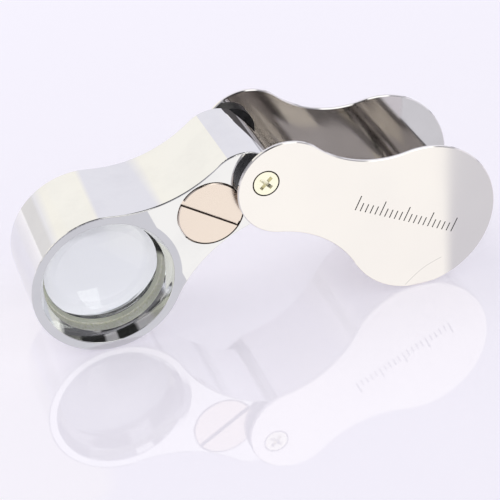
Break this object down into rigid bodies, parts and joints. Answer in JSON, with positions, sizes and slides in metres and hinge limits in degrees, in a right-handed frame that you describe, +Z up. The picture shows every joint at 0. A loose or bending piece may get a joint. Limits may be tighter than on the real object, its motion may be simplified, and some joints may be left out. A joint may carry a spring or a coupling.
{
  "type": "folding hand lens",
  "caption": "Folding illuminated hand lens: a chrome lens body with a battery well in its neck swings out of a steel case on a friction pivot.",
  "frame": {"origin": "on the ground, under the middle of the whole object as it stands half open like an arch", "axes": "+Z up, +X from the lens ring to the case, -Y the object side of the lens (battery cap) and +Y the eye side"},
  "size_m": [0.0824, 0.021, 0.0341],
  "materials": {
    "body_chrome": "polished chrome plating, mirror bright",
    "lens_glass": "clear polished optical glass",
    "spacer_metal": "fine-turned matt ring with a faint yellow-green cast",
    "ring_chrome": "polished chrome plating",
    "cap_metal": "satin nickel plating with fine turning marks",
    "seal_rubber": "black rubber",
    "inner_plastic": "black moulded plastic",
    "cell_steel": "bright pressed steel can",
    "contact_brass": "thin sprung brass",
    "lamp_clear": "clear moulded epoxy",
    "lead_metal": "tinned wire",
    "case_steel": "polished stainless sheet with hairline scratches",
    "sleeve_steel": "turned steel",
    "screw_metal": "nickelled brass, worn pale at the recess",
    "washer_plastic": "black nylon"
  },
  "bodies": {
    "case": {"front_cover": "case_steel", "rear_cover": "case_steel", "case_spine": "case_steel", "pivot_sleeve": "sleeve_steel", "front_pivot_screw": "screw_metal", "rear_pivot_screw": "screw_metal", "front_washer": "washer_plastic", "rear_washer": "washer_plastic"},
    "lens": {"lens_body": "body_chrome", "front_lens_element": "lens_glass", "middle_lens_element": "lens_glass", "rear_lens_element": "lens_glass", "lens_spacer_ring": "spacer_metal", "rear_retaining_ring": "ring_chrome", "battery_cap_seal": "seal_rubber", "contact_insulator": "inner_plastic", "battery_liner": "inner_plastic", "button_cell_1": "cell_steel", "button_cell_2": "cell_steel", "button_cell_3": "cell_steel", "battery_contact_spring": "contact_brass", "led": "lamp_clear", "led_holder": "inner_plastic", "led_live_lead": "lead_metal", "led_ground_lead": "lead_metal"},
    "battery_cap": {"battery_cap": "cap_metal"}
  },
  "joints": [
    {"name": "lens_fold", "type": "hinge", "parent": "case", "child": "lens", "pos_m": [-0.00073, 0, 0.02731], "axis": [0, 1, 0], "range_deg": [-20, 233]},
    {"name": "cap_turn", "type": "hinge", "parent": "lens", "child": "battery_cap", "pos_m": [-0.00987, -0.00845, 0.02256], "axis": [0, -1, 0], "range_deg": [0, 450]}
  ]
}
